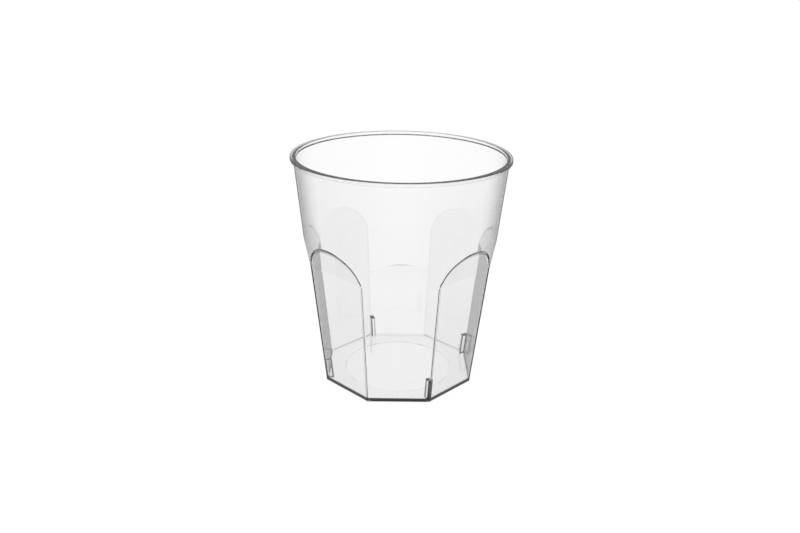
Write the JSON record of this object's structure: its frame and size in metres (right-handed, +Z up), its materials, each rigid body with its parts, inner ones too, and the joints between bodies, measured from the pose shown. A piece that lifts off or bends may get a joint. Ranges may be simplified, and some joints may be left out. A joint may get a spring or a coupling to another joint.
{
  "type": "plastic tumbler cup",
  "caption": "Clear moulded tumbler with an octagonal foot, arched flat panels, a round flared mouth with a lip, and stacking ribs inside.",
  "frame": {"origin": "centre of the foot on the table", "axes": "+Z up along the cup's axis, with one flat panel facing -Y"},
  "size_m": [0.085, 0.085, 0.0918],
  "materials": {
    "clear_plastic": "clear, polished, water-white polystyrene"
  },
  "bodies": {
    "root": {"cup": "clear_plastic"}
  },
  "joints": []
}
